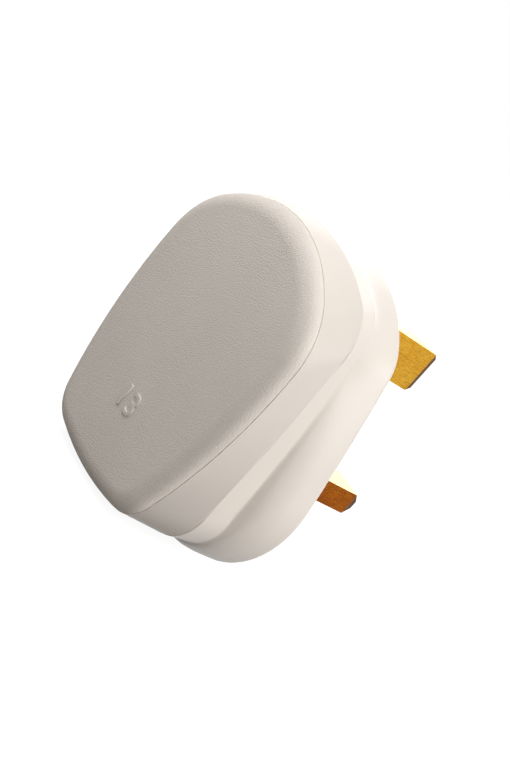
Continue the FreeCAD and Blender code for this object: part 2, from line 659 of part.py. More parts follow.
def make_live_terminal():
    """The block that the line wire goes to, with a plate that carries the upper fuse clip."""
    body = new_body("line_terminal")
    plate = new_sketch(body, "live_plate_outline", live_seat_depth)
    half = S.live_plate_width / 2
    rectangle(plate, line_x - half, line_x + half, S.live_plate_low, S.live_block_low)
    add(body, "Pad", "live_plate", plate, clip_foot_depth - live_seat_depth)
    base = new_sketch(body, "live_block_outline", live_seat_depth)
    rectangle(base, live_block_left, live_block_right, S.live_block_low, live_block_high)
    raised = add(body, "Pad", "live_block", base, S.live_block_depth - live_seat_depth)
    round_edges(body, "live_block_bevel", raised, S.block_edge_bevel,
                lambda edge: at_depth(edge, S.live_block_depth), kind="Chamfer")
    wire = new_sketch(body, "live_wire_mouth", live_block_left, plane="YZ_Plane")
    circle(wire, -S.wire_hole_depth, live_screw_z, S.wire_hole_radius)
    add(body, "Pocket", "live_wire_hole", wire, S.live_block_width - S.block_edge_bevel, reverse=True)
    tapped = new_sketch(body, "live_tapping", S.live_block_depth)
    circle(tapped, live_screw_x, live_screw_z, S.terminal_screw_radius + S.screw_hole_gap)
    add(body, "Pocket", "live_screw_hole", tapped, S.live_block_depth - S.wire_hole_depth)
    hole = new_sketch(body, "live_rivet_hole_outline", clip_foot_depth)
    circle(hole, line_x, upper_clip_z, S.rivet_radius + S.rivet_gap)
    add(body, "Pocket", "live_rivet_hole", hole, clip_foot_depth - live_seat_depth)
    return body


def slotted_screw(name, x, z, seat, radius, reach, head_radius, head_height, slot_width, slot_depth,
                  way="pins"):
    """A cheese head screw: its head stands on a seat and its shank goes the given way."""
    back = {"pins": "rear", "rear": "pins"}[way]
    lift = 1 if way == "pins" else -1
    shank = rod(f"{name}_shank", x, seat, z, way, radius, reach)
    head = rod(f"{name}_head", x, seat, z, back, head_radius, head_height)
    top = seat + head_height * lift
    slot_floor = top - slot_depth * lift
    near, far = (slot_floor, top) if lift > 0 else (top, slot_floor)
    slot_end = head_radius + slot_width
    slot = block(f"{name}_slot", x - slot_end, x + slot_end, near, far,
                 z - slot_width / 2, z + slot_width / 2)
    return cut(name, joined(f"{name}_blank", [shank, head]), [slot])


def make_screws():
    """The cover screw, the three terminal screws and the two cord grip screws."""
    pieces = [slotted_screw(
        "cover_screw", ZERO, S.screw_rise, S.head_recess_depth, S.screw_radius,
        S.screw_end_depth - S.head_recess_depth, S.screw_head_radius, S.screw_head_height,
        S.screw_slot_width, S.screw_slot_depth, way="rear")]
    places = (
        ("earth_terminal_screw", ZERO, S.earth_rise, S.earth_block_depth),
        ("neutral_terminal_screw", -line_x, ZERO, S.neutral_block_depth),
        ("line_terminal_screw", live_screw_x, live_screw_z, S.live_block_depth),
    )
    for name, x, z, top in places:
        seat = top + S.terminal_screw_lift
        pieces.append(slotted_screw(
            name, x, z, seat, S.terminal_screw_radius, seat - S.wire_hole_depth,
            S.terminal_head_radius, S.terminal_head_height, S.terminal_slot_width, S.terminal_slot_depth))
    for side, sign in (("left", -1), ("right", 1)):
        pieces.append(slotted_screw(
            f"cord_grip_screw_{side}", S.post_x * sign, -S.post_drop, bar_rear_depth,
            S.grip_screw_radius, S.bar_thickness + grip_screw_reach, S.grip_head_radius,
            S.grip_head_height, S.terminal_slot_width, S.terminal_slot_depth))
    return pieces


def make_cover_nut():
    outer = rod("nut_outer", ZERO, boss_end_depth, S.screw_rise, "rear",
                S.nut_radius - S.nut_gap, S.nut_length)
    bore = rod("nut_bore", ZERO, boss_end_depth, S.screw_rise, "rear",
               S.screw_radius + S.nut_gap, S.nut_length)
    return cut("cover_nut", outer, [bore])


def make_washer():
    face = S.base_boss_depth + S.seat_gap
    outer = rod("washer_outer", ZERO, face, S.screw_rise, "rear", S.washer_radius, S.washer_thickness)
    bore = rod("washer_bore", ZERO, face, S.screw_rise, "rear",
               S.screw_radius + S.nut_gap, S.washer_thickness)
    return cut("screw_retainer", outer, [bore])


def make_grip_bar():
    """The bar that clamps the cord, with rounded ends and a ridge on its clamping face."""
    body = new_body("cord_grip_bar")
    face = new_sketch(body, "bar_outline", post_depth)
    half = S.bar_length / 2
    low = -S.post_drop - S.bar_width / 2
    high = S.bar_width / 2 - S.post_drop
    rectangle(face, -half, half, low, high)
    bar = add(body, "Pad", "bar_blank", face, S.bar_thickness)
    corner = S.bar_length.value / 2

    def is_end_corner(edge):
        limits = edge.BoundBox
        upright = limits.YLength > S.bar_thickness.value / 2
        return upright and abs(abs(limits.Center.x) - corner) < 1e-4

    round_edges(body, "bar_rounded_ends", bar, S.bar_end_radius, is_end_corner)
    ridge = new_sketch(body, "bar_ridge_section", -S.bar_ridge_length / 2, plane="YZ_Plane")
    crest = S.bar_ridge_radius
    polygon(ridge, [(-post_depth, -S.post_drop - crest), (-post_depth, crest - S.post_drop),
                    (crest - post_depth, -S.post_drop)])
    add(body, "Pad", "bar_ridge", ridge, S.bar_ridge_length)
    holes = new_sketch(body, "bar_holes", bar_rear_depth)
    for side in (-1, 1):
        circle(holes, S.post_x * side, -S.post_drop, S.grip_screw_radius + S.grip_hole_gap)
    add(body, "Pocket", "bar_screw_holes", holes, S.bar_thickness)
    return body


def make_fuse():
    """A cartridge fuse: a ceramic tube, two pressed end caps and the wire inside."""
    inner_end = S.fuse_cap_wall
    tube_radius = S.fuse_cap_radius - S.fuse_cap_wall
    tube_length = S.fuse_length - inner_end * 2
    tube = rod("fuse_tube", line_x, S.fuse_depth, fuse_low + inner_end, "up", tube_radius, tube_length)
    bore = rod("fuse_tube_bore", line_x, S.fuse_depth, fuse_low + inner_end, "up",
               S.fuse_bore_radius, tube_length)
    pieces = [cut("fuse_body", tube, [bore])]
    upper_start = fuse_high - S.fuse_cap_length
    for name, start, hollow in (("fuse_cap_lower", fuse_low, fuse_low + inner_end),
                                ("fuse_cap_upper", upper_start, upper_start)):
        cap = rod(f"{name}_outer", line_x, S.fuse_depth, start, "up", S.fuse_cap_radius, S.fuse_cap_length)
        inside = rod(f"{name}_inside", line_x, S.fuse_depth, hollow, "up",
                     tube_radius, S.fuse_cap_length - inner_end)
        pieces.append(cut(name, cap, [inside]))
    wire = rod("fuse_element", line_x, S.fuse_depth, fuse_low + inner_end, "up",
               S.fuse_wire_radius, tube_length)
    wire.Label = "fuse_element"
    pieces.append(wire)
    return pieces


def make_clip(name, z):
    """A folded spring clip: a flat foot, two legs, curved leaves round the cap and splayed lips."""
    body = new_body(name)
    inner = S.fuse_cap_radius + S.clip_gap
    outer = inner + S.clip_thickness
    leg_in = S.clip_leg_x
    leg_out = S.clip_leg_x + S.clip_thickness
    foot_top = -S.clip_floor_drop
    foot_under = foot_top - S.clip_thickness
    wrap = math.radians(S.clip_wrap_angle.value)
    lip = math.radians(S.clip_lip_angle.value)
    tip_x = S.clip_lip_length * math.cos(lip)
    tip_y = S.clip_lip_length * math.sin(lip)
    profile = new_sketch(body, f"{name}_profile", z - S.clip_length / 2, plane="XY_Plane")
    inner_low = -root(inner * inner - leg_in * leg_in)
    outer_low = -root(outer * outer - leg_out * leg_out)
    right = [
        (leg_out, foot_under), (leg_out, outer_low),
        (outer * math.cos(wrap), outer * math.sin(wrap)),
        (outer * math.cos(wrap) + tip_x, outer * math.sin(wrap) + tip_y),
        (inner * math.cos(wrap) + tip_x, inner * math.sin(wrap) + tip_y),
        (inner * math.cos(wrap), inner * math.sin(wrap)),
        (leg_in, inner_low), (leg_in, foot_top)]
    left = [(-x, y) for x, y in reversed(right)]
    corners = [(line_x + x, -S.fuse_depth - y) for x, y in right + left]
    arcs = {1: outer, 5: inner, 9: inner, 13: outer}
    bent_outline(profile, corners, arcs, (line_x, -S.fuse_depth))
    add(body, "Pad", f"{name}_strip", profile, S.clip_length)
    hole = new_sketch(body, f"{name}_rivet_hole_outline", clip_foot_depth + S.clip_thickness)
    circle(hole, line_x, z, S.rivet_radius + S.rivet_gap)
    add(body, "Pocket", f"{name}_rivet_hole", hole, S.clip_thickness)
    return body


def bent_outline(sketch, corners, arcs, centre):
    """A closed outline of lines and of arcs round one centre, tied to the sheet."""
    count = len(corners)
    middle = FreeCAD.Vector(centre[0].value, centre[1].value, 0)
    flat = [FreeCAD.Vector(x.value, y.value, 0) for x, y in corners]
    ends = []
    for i in range(count):
        start, end = flat[i], flat[(i + 1) % count]
        if i not in arcs:
            sketch.addGeometry(Part.LineSegment(start, end))
            ends.append((1, 2))
            continue
        first = math.atan2(start.y - middle.y, start.x - middle.x)
        last = math.atan2(end.y - middle.y, end.x - middle.x)
        turn = (last - first) % (2 * math.pi)
        whole = Part.Circle(middle, FreeCAD.Vector(0, 0, 1), arcs[i].value)
        if turn < math.pi:
            sketch.addGeometry(Part.ArcOfCircle(whole, first, first + turn))
            ends.append((1, 2))
        else:
            sketch.addGeometry(Part.ArcOfCircle(whole, last, last + 2 * math.pi - turn))
            ends.append((2, 1))
    for i in range(count):
        after = (i + 1) % count
        sketch.addConstraint(Sketcher.Constraint("Coincident", i, ends[i][1], after, ends[after][0]))
        place_point(sketch, i, ends[i][0], corners[i][0], corners[i][1])
    for i, radius in arcs.items():
        bind(sketch, Sketcher.Constraint("Radius", i, radius.value), radius)


def make_rivet(name, z, far_depth):
    """A rivet that holds a fuse clip down on the brass below it."""
    top = clip_foot_depth + S.clip_thickness
    head = rod(f"{name}_head", line_x, top, z, "rear", S.rivet_head_radius, S.rivet_head_height)
    shank = rod(f"{name}_shank", line_x, top, z, "pins", S.rivet_radius, top - far_depth)
    whole = joined(name, [shank, head])
    whole.Label = name
    return whole


def build():
    pieces = [make_base(), make_cover(), make_earth_pin(), make_neutral_pin(), make_line_pin(),
              make_live_terminal(), make_cover_nut(), make_washer(), make_grip_bar()]
    pieces += make_screws()
    pieces += make_fuse()
    pieces.append(make_clip("fuse_clip_lower", lower_clip_z))
    pieces.append(make_clip("fuse_clip_upper", upper_clip_z))
    pieces.append(make_rivet("clip_rivet_lower", lower_clip_z, S.floor))
    pieces.append(make_rivet("clip_rivet_upper", upper_clip_z, live_seat_depth))
    doc.recompute()
    return pieces


def check_and_write(pieces):
    """Stops on any failed object or bad shape, and otherwise writes one file a piece."""
    for thing in doc.Objects:
        if "Invalid" in thing.State or "Error" in thing.State:
            raise RuntimeError(f"{thing.Label} failed: {thing.State}")
    for piece in pieces:
        if piece.Shape.isNull() or not piece.Shape.isValid():
            raise RuntimeError(f"{piece.Label} has a bad shape")
    for piece in pieces:
        piece.Shape.exportStep(f"parts/{piece.Label}.step")
        print(f"{piece.Label}: {len(piece.Shape.Solids)} solid, {piece.Shape.Volume:.1f} cubic mm")


check_and_write(build())
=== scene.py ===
# %% [markdown]
# # A three pin plug, dressed in plastic and brass
# The shapes of this plug come from a CAD model. This script loads it as a fixed frame and gives it
# what the frame lacks: finishes, light, a floor and a camera. The shapes could also be modelled
# here by hand, but a plug has to fit a socket, so they stay as drawn.

# %% Load the frame
import bpy
import math
from mathutils import Matrix, Vector


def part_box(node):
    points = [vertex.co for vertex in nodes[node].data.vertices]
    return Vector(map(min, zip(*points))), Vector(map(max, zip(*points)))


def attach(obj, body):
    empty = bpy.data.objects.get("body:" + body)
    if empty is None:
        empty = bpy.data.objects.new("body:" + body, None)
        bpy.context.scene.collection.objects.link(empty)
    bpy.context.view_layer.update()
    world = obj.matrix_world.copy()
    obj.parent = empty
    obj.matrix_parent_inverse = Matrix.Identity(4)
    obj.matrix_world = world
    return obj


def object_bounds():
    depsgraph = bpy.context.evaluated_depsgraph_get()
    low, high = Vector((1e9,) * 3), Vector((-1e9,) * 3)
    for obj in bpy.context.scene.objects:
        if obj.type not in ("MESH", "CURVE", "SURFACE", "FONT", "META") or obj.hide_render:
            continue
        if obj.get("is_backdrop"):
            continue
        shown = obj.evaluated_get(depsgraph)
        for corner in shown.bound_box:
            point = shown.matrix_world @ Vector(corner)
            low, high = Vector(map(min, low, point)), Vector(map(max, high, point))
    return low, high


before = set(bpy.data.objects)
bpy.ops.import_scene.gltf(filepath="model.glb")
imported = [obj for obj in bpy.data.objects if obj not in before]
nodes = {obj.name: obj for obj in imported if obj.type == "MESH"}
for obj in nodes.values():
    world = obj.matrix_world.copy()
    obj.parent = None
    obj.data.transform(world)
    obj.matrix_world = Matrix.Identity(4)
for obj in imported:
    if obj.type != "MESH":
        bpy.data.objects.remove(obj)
cad_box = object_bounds()
print("pieces in the frame:", len(nodes))
print("size of the plug in mm:", [round(1000 * (high - low), 1) for low, high in zip(*cad_box)])

# %% [markdown]
# # The camera
# The photograph was taken from behind the plug and to its right, a little above it, with the camera
# rolled by 40 degrees. A camera could be placed by eye. Here its place and its turn were worked out
# from the pins, whose sizes are known: only one camera sees them where the photograph has them.
# The three directions below are the picture's right, its down and the way into it. The film is
# 36 mm long and lies along the picture's longer side.

# %% Place the camera
picture_right = Vector((0.42163, 0.64180, 0.64057))
picture_down = Vector((0.57181, 0.36008, -0.73714))
into_picture = Vector((-0.70375, 0.67708, -0.21517))
camera_place = Vector((0.16891, -0.16648, 0.05732))
focal_pixels = 1501.5
picture_height = 768
film_length = 36
nearest_seen, furthest_seen = 0.01, 50

camera_data = bpy.data.cameras.new("camera")
camera_data.sensor_width = film_length
camera_data.lens = focal_pixels / picture_height * film_length
camera_data.clip_start = nearest_seen
camera_data.clip_end = furthest_seen
camera = bpy.data.objects.new("camera", camera_data)
bpy.context.scene.collection.objects.link(camera)
turn = Matrix((picture_right, -picture_down, -into_picture)).transposed()
camera.matrix_world = Matrix.Translation(camera_place) @ turn.to_quaternion().to_matrix().to_4x4()
bpy.context.scene.camera = camera
print("lens in mm:", round(camera_data.lens, 1))

# %% [markdown]
# # Small tools for shader nodes
# A finish is a little graph of nodes. Such a graph could be drawn by hand in the shader editor. In
# a script it reads best when one short helper adds a node and another joins two sockets, so that
# each finish below is a list of what it is made of. Colours are written as a screen shows them,
# from 0 to 255, and srgb turns them into the linear numbers that light is reckoned in.

# %% Nodes, joins and colours
def add_node(tree, kind, sockets=None, **settings):
    made = tree.nodes.new("ShaderNode" + kind)
    for name, value in settings.items():
        setattr(made, name, value)
    for name, value in (sockets or {}).items():
        made.inputs[name].default_value = value
    return made


def join(tree, start, end):
    tree.links.new(start, end)


def srgb(red, green, blue):
    """The numbers below are those of the curve that screens follow."""
    def linear(value):
        value /= 255
        return value / 12.92 if value <= 0.04045 else ((value + 0.055) / 1.055) ** 2.4
    return (linear(red), linear(green), linear(blue), 1)


def scaled(colour, factor):
    """The same tint, darker or brighter."""
    return tuple(min(1, factor * part) for part in colour[:3]) + (1,)


print("mid grey in linear light:", round(srgb(128, 128, 128)[0], 3))

# %% [markdown]
# Every finish here starts in the same way: a principled shader, and the place on the plug in
# metres, which is what the grain is drawn by. A picture wrapped round the plug could give the grain
# too, but it would need unwrapping and would blur up close. Noise in space has neither fault.

# %% Start a finish
def start_finish(name, colour, roughness, metallic=0.0, specular=0.5):
    """A finish with even values. The nodes that are joined later take over from them."""
    finish = bpy.data.materials.new(name)
    finish.use_nodes = True
    tree = finish.node_tree
    shader = tree.nodes["Principled BSDF"]
    shader.inputs["Base Color"].default_value = colour
    shader.inputs["Roughness"].default_value = roughness
    shader.inputs["Metallic"].default_value = metallic
    shader.inputs["Specular IOR Level"].default_value = specular
    place = add_node(tree, "TexCoord").outputs["Object"]
    return finish, tree, shader, place


print("a finish starts as a shader and a place")

# %% [markdown]
# Noise is soft random grain. Its scale says how often it repeats in a metre, so a scale of 1000
# gives grain of about a millimetre. Most of its values lie near a half. So a part of its range is
# cut out and spread to the full range, which sets how hard and how common the marks are.

# %% Grain and ranges
def noise(tree, place, scale, detail, roughness=0.5, stretch=None):
    """Stretch says how many times longer the grain is along each axis."""
    if stretch:
        squeeze = add_node(tree, "Mapping", {"Scale": [1 / longer for longer in stretch]})
        join(tree, place, squeeze.inputs["Vector"])
        place = squeeze.outputs["Vector"]
    made = add_node(tree, "TexNoise", {"Scale": scale, "Detail": detail, "Roughness": roughness})
    join(tree, place, made.inputs["Vector"])
    return made.outputs["Fac"]


def spread(tree, value, low, high, to_low=0.0, to_high=1.0):
    """Turns a value that runs from low to high into one from to_low to to_high."""
    made = add_node(tree, "MapRange", {"From Min": low, "From Max": high,
                                       "To Min": to_low, "To Max": to_high})
    join(tree, value, made.inputs["Value"])
    return made.outputs["Result"]


print("grain tools ready")

# %% [markdown]
# Layers of colour are blended by a share from 0 to 1, and shares are added and multiplied. Both
# could be done with a node for each case. The helpers take plain values and sockets alike, so that
# a layer is one line below.

# %% Blends and sums
def feed(tree, value, socket):
    """Writes a plain value on the socket, or joins what is given instead."""
    if isinstance(value, (int, float, tuple)):
        socket.default_value = value
    else:
        join(tree, value, socket)


def blend_colours(tree, share, first, second):
    """Colour first where share is 0 and second where it is 1."""
    made = add_node(tree, "Mix", data_type="RGBA")
    join(tree, share, made.inputs["Factor"])
    socket_a, socket_b = [socket for socket in made.inputs if socket.type == "RGBA"]
    feed(tree, first, socket_a)
    feed(tree, second, socket_b)
    return next(socket for socket in made.outputs if socket.type == "RGBA")


def calculate(tree, operation, first, second):
    made = add_node(tree, "Math", operation=operation)
    feed(tree, first, made.inputs[0])
    feed(tree, second, made.inputs[1])
    return made.outputs["Value"]


def multiply(tree, first, second):
    return calculate(tree, "MULTIPLY", first, second)


print("layer tools ready")

# %% [markdown]
# Bump lets a height field tilt the surface without moving it. Grain could be cut into the mesh
# instead, but grain this fine would take millions of faces. Bumps are stacked by handing the
# normal of one to the next.

# %% Bump
def add_bump(tree, shader, height, depth, strength, under=None):
    """Depth is in metres, and under is the normal of the bump below."""
    made = add_node(tree, "Bump", {"Distance": depth, "Strength": strength})
    join(tree, height, made.inputs["Height"])
    if under:
        join(tree, under, made.inputs["Normal"])
    join(tree, made.outputs["Normal"], shader.inputs["Normal"])
    return made.outputs["Normal"]


print("bump ready")

# %% [markdown]
# # Worn and dirty edges
# Handling polishes the edges of a thing and leaves grime in its corners. It could be painted on by
# hand. Here the shader finds the edges itself: it rounds the normal over a small radius and looks
# at how far that turns it away from the true one. Flat places give 0, and edges more.

# %% Find the edges
edge_rays = 6
faint_edge, full_edge = 0.002, 0.06


def edge_share(tree, radius):
    rounded = add_node(tree, "Bevel", {"Radius": radius}, samples=edge_rays)
    true = add_node(tree, "NewGeometry")
    alike = add_node(tree, "VectorMath", operation="DOT_PRODUCT")
    join(tree, rounded.outputs["Normal"], alike.inputs[0])
    join(tree, true.outputs["Normal"], alike.inputs[1])
    turned = calculate(tree, "SUBTRACT", 1.0, alike.outputs["Value"])
    return spread(tree, turned, faint_edge, full_edge)


fully_turned = math.degrees(math.acos(1 - full_edge))
print("an edge counts in full where the normal turns by", round(fully_turned), "degrees")

# %% [markdown]
# # The white plastic
# Both mouldings are one hard thermoset plastic, a warm white with a polished skin. Up close it is
# not even: it has faint clouds of colour and a few dark specks. One plain white would look like
# paint, so each is a layer. The specks come from a texture of scattered points. Each point gets a
# dot, and only the few whose random colour is very red keep it.

# %% Clouds and specks
warm_white = srgb(237, 229, 220)
cool_white = srgb(232, 224, 216)
speck_brown = srgb(120, 98, 84)
cloud_scale = 70
speck_scale = 170
speck_edge = (0.022, 0.032)
kept_red = (0.86, 0.87)
speck_strength = 0.75


def plastic_colour(tree, place):
    """The clouded and specked white, and how much of a speck each place is."""
    clouds = spread(tree, noise(tree, place, cloud_scale, detail=3), 0.2, 0.8)
    colour = blend_colours(tree, clouds, warm_white, cool_white)
    points = add_node(tree, "TexVoronoi", {"Scale": speck_scale}, feature="F1")
    join(tree, place, points.inputs["Vector"])
    dots = spread(tree, points.outputs["Distance"], *speck_edge, 1.0, 0.0)
    parts = add_node(tree, "SeparateColor")
    join(tree, points.outputs["Color"], parts.inputs["Color"])
    kept = spread(tree, parts.outputs["Red"], *kept_red)
    specks = multiply(tree, multiply(tree, dots, kept), speck_strength)
    return blend_colours(tree, specks, colour, speck_brown), specks


print("the largest speck in mm:", round(1000 * 2 * speck_edge[1] / speck_scale, 2))

# %% [markdown]
# Fingers dull the polish in soft patches, and inside a patch the dulling is streaky, because hands
# wipe over it. It could be drawn with a brush. Two noises multiplied give it too: a coarse one for
# the patches and a fine one, stretched upwards, for the streaks.

# %% Handling marks
patch_scale = 60
streak_scale = 700
streak_stretch = (1, 1, 7)


def handling_marks(tree, place):
    patches = noise(tree, place, patch_scale, detail=1)
    streaks = noise(tree, place, streak_scale, detail=2, stretch=streak_stretch)
    return multiply(tree, spread(tree, patches, 0.3, 0.8), spread(tree, streaks, 0.2, 0.8))


print("streaks are about", round(1000 * streak_stretch[2] / streak_scale), "mm long")

# %% [markdown]
# The rear cap has a matt grain from its blasted mould, while the sides are glossy. They are one
# moulding, so they could be split into two objects, but here one finish serves both: it reads how
# far back a point lies, and past the thin step it turns from gloss to grain.

# %% Where gloss turns to grain
rear_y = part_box("cover")[0].y
cap_height = 0.0026
cap_start = rear_y + cap_height
turn_width = 0.0001
matt_scale, matt_depth, matt_strength = 4600, 0.00011, 1.0
matt_dulling = 0.36


def add_matt_grain(tree, shader, place, matt_from, rough, normal):
    """Adds grain where y lies further back than matt_from, and gives back the roughness there."""
    split = add_node(tree, "SeparateXYZ")
    join(tree, place, split.inputs["Vector"])
    matt = spread(tree, split.outputs["Y"], matt_from + turn_width, matt_from - turn_width)
    grain = multiply(tree, matt, noise(tree, place, matt_scale, detail=2))
    add_bump(tree, shader, grain, matt_depth, matt_strength, normal)
    return calculate(tree, "ADD", rough, multiply(tree, matt, matt_dulling))


print("the matt cap starts at y =", round(cap_start * 1000, 2), "mm")

# %% [markdown]
# All layers of the plastic come together here, with a slight wave in the polished skin. The base
# is glossy all over, the cover has its matt cap and the raised number is matt all over. Roughness
# stays above 0.28 everywhere, because Blender's noise filter takes smoother places for mirrors and
# leaves blotches where a surface crosses over.

# %% Mix the plastic
plastic_roughness, plastic_specular = 0.32, 0.35
satin_scale, satin_roughness = 60, (0.29, 0.37)
mark_dulling = 0.14
edge_dark_white = srgb(214, 203, 190)
edge_dark_reach, edge_dark_strength = 0.0004, 0.10
wave_scale, wave_depth, wave_strength = 140, 0.00004, 0.3
speck_depth, speck_bump = -0.00001, 0.5
past_everything = 1.0


def make_plastic(name, matt_from=None):
    finish, tree, shader, place = start_finish(name, warm_white, plastic_roughness,
                                               specular=plastic_specular)
    colour, specks = plastic_colour(tree, place)
    # Edges and creases turn a little darker and greyer here.
    edge_dark = multiply(tree, edge_share(tree, edge_dark_reach), edge_dark_strength)
    join(tree, blend_colours(tree, edge_dark, colour, edge_dark_white), shader.inputs["Base Color"])

    satin = noise(tree, place, satin_scale, detail=3)
    marks = multiply(tree, handling_marks(tree, place), mark_dulling)
    rough = calculate(tree, "ADD", spread(tree, satin, 0.3, 0.7, *satin_roughness), marks)
    wavy = noise(tree, place, wave_scale, detail=2)
    normal = add_bump(tree, shader, wavy, wave_depth, wave_strength)
    normal = add_bump(tree, shader, specks, speck_depth, speck_bump, normal)
    if matt_from is not None:
        rough = add_matt_grain(tree, shader, place, matt_from, rough, normal)
    join(tree, rough, shader.inputs["Roughness"])
    return finish


base_plastic = make_plastic("base_plastic")
cover_plastic = make_plastic("cover_plastic", matt_from=cap_start)
number_plastic = make_plastic("number_plastic", matt_from=past_everything)
print("nodes in the cover's finish:", len(cover_plastic.node_tree.nodes))

# %% [markdown]
# # The brass
# The pins are cut from drawn brass bar, so their grain runs along them. Brass that is handled goes
# from yellow to a warm brown in patches, with dark lines and freckles, and its edges stay bright,
# because they rub in the socket. A plain metal shader would show none of that.

# %% The colour of aged brass
line_range, line_share = (0.42, 0.7), 0.6
freckle_scale, freckle_range, freckle_share = 3600, (0.54, 0.7), 0.8
tarnish = 0.45
polish = 1.2
rub_reach, rub_strength = 0.00025, 0.5


def brass_colour(tree, place, bright, brown, age, grain):
    freckles = noise(tree, place, freckle_scale, detail=2)
    colour = blend_colours(tree, age, bright, brown)
    lines = spread(tree, grain, *line_range, 0.0, line_share)
    dots = spread(tree, freckles, *freckle_range, 0.0, freckle_share)
    darkest = calculate(tree, "MAXIMUM", lines, dots)
    colour = blend_colours(tree, darkest, colour, scaled(brown, tarnish))
    rubbed = multiply(tree, edge_share(tree, rub_reach), rub_strength)
    return blend_colours(tree, rubbed, colour, scaled(bright, polish))


print("freckles are about", round(1000 / freckle_scale, 2), "mm wide")

# %% [markdown]
# The tapered tips of the pins get painted shade, a dark, dull brown, and their upper faces get a
# painted highlight, pale as if lit from above. Both could be painted by hand. Here the tip is found
# by its place along the pin, and an upper face by its normal, which points up.

# %% Painted shade on the tips and a painted highlight on upper faces
shaded_tip_brown = srgb(70, 44, 20)
shaded_tip_share, shaded_tip_dulling = 0.85, 0.2
painted_top_highlight = srgb(252, 228, 160)
top_highlight_share, top_highlight_slope = 0.8, (0.6, 0.9)
dark_rim = 0.8


def tip_span(pin, length):
    """Where the tapered tip of a pin starts and where its dark rim is full."""
    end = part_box(pin)[1].y
    return (end - length, end - length * dark_rim)


def paint_tip_shade_and_top_highlight(tree, place, colour, rough, tip):
    along = add_node(tree, "SeparateXYZ")
    join(tree, place, along.inputs["Vector"])
    # Painted shade: the tapered tip turns a dark brown and gets duller.
    shaded_tip = spread(tree, along.outputs["Y"], *tip, 0.0, shaded_tip_share)
    colour = blend_colours(tree, shaded_tip, colour, shaded_tip_brown)
    facing = add_node(tree, "SeparateXYZ")
    join(tree, add_node(tree, "NewGeometry").outputs["Normal"], facing.inputs["Vector"])
    # Painted highlight: the upper faces turn pale, as if lit from above.
    upper = spread(tree, facing.outputs["Z"], *top_highlight_slope, 0.0, top_highlight_share)
    rough = calculate(tree, "ADD", rough, multiply(tree, shaded_tip, shaded_tip_dulling))
    return blend_colours(tree, upper, colour, painted_top_highlight), rough


earth_tip, line_tip = tip_span("earth_pin", 0.0013), tip_span("line_pin", 0.0015)
print("the earth pin's tip starts at y =", round(1000 * earth_tip[0], 2), "mm")

# %% [markdown]
# The same recipe serves all that is brass. It could be one material, but a pin that is handled is
# browner than a terminal inside, and the grain of a turned screw runs round it. So the two colours,
# the stretch of the grain and the polish are given for each. The line and neutral pins get a
# darker, browner brass than the earth pin, which is painted shade.

# %% Drawn and turned brass
brass_roughness = 0.35
age_scale, age_range = 300, (0.38, 0.7)
grain_scale, grain_depth, grain_strength = 5200, 0.000012, 0.6
dulling_range = (0.4, 1.4)


def make_brass(name, bright, brown, stretch, roughness=(0.3, 0.46), tip=None):
    finish, tree, shader, place = start_finish(name, bright, brass_roughness, metallic=1.0)
    age = spread(tree, noise(tree, place, age_scale, detail=5, roughness=0.65), *age_range)
    grain = noise(tree, place, grain_scale, detail=4, roughness=0.6, stretch=stretch)
    colour = brass_colour(tree, place, bright, brown, age, grain)
    rough = spread(tree, calculate(tree, "ADD", age, grain), *dulling_range, *roughness)
    if tip:
        colour, rough = paint_tip_shade_and_top_highlight(tree, place, colour, rough, tip)
    join(tree, colour, shader.inputs["Base Color"])
    join(tree, rough, shader.inputs["Roughness"])
    add_bump(tree, shader, grain, grain_depth, grain_strength)
    return finish


along_pin, along_clip = (1, 9, 1), (1, 1, 8)
round_screw = (10, 1, 10)
no_grain = (1, 1, 1)
earth_brass = make_brass("earth_brass", srgb(202, 156, 51), srgb(179, 127, 31), along_pin,
                         tip=earth_tip)
# Painted shade: a darker, browner copy of the pin brass for the line and neutral pins.
shaded_pin_brass = make_brass("shaded_pin_brass", srgb(158, 86, 2), srgb(127, 63, 2), along_pin,
                        tip=line_tip)
terminal_brass = make_brass("terminal_brass", srgb(222, 186, 116), srgb(196, 152, 82), no_grain)
clip_brass = make_brass("clip_brass", srgb(228, 196, 128), srgb(200, 162, 96), along_clip,
                        roughness=(0.29, 0.4))
screw_brass = make_brass("screw_brass", srgb(214, 178, 110), srgb(180, 138, 74), round_screw)
print("brass finishes:", [m.name for m in bpy.data.materials if "brass" in m.name])

# %% [markdown]
# # Plated steel and nickel
# The cover screw and the cord grip screws are zinc plated steel, turned on a lathe, so fine rings
# run round them. The fuse has nickel plated caps. Both are pale metals, and differ only in colour,
# in how polished they are and in the scale of their marks, so one recipe makes them all.

# %% Pale metals
worn_silver = srgb(236, 234, 228)
cloud_range = (0.4, 0.68)
metal_clouds = 320
wear_reach, wear_strength = 0.0002, 0.5
ring_depth, ring_strength = 0.000006, 0.5


def make_pale_metal(name, clean, dull, scale, roughness, stretch):
    finish, tree, shader, place = start_finish(name, clean, roughness[0], metallic=1.0)
    cloud = spread(tree, noise(tree, place, metal_clouds, detail=4), *cloud_range)
    marks = noise(tree, place, scale, detail=2, stretch=stretch)
    colour = blend_colours(tree, cloud, clean, dull)
    worn = multiply(tree, edge_share(tree, wear_reach), wear_strength)
    join(tree, blend_colours(tree, worn, colour, worn_silver), shader.inputs["Base Color"])
    join(tree, spread(tree, marks, 0.3, 0.7, *roughness), shader.inputs["Roughness"])
    add_bump(tree, shader, marks, ring_depth, ring_strength)
    return finish


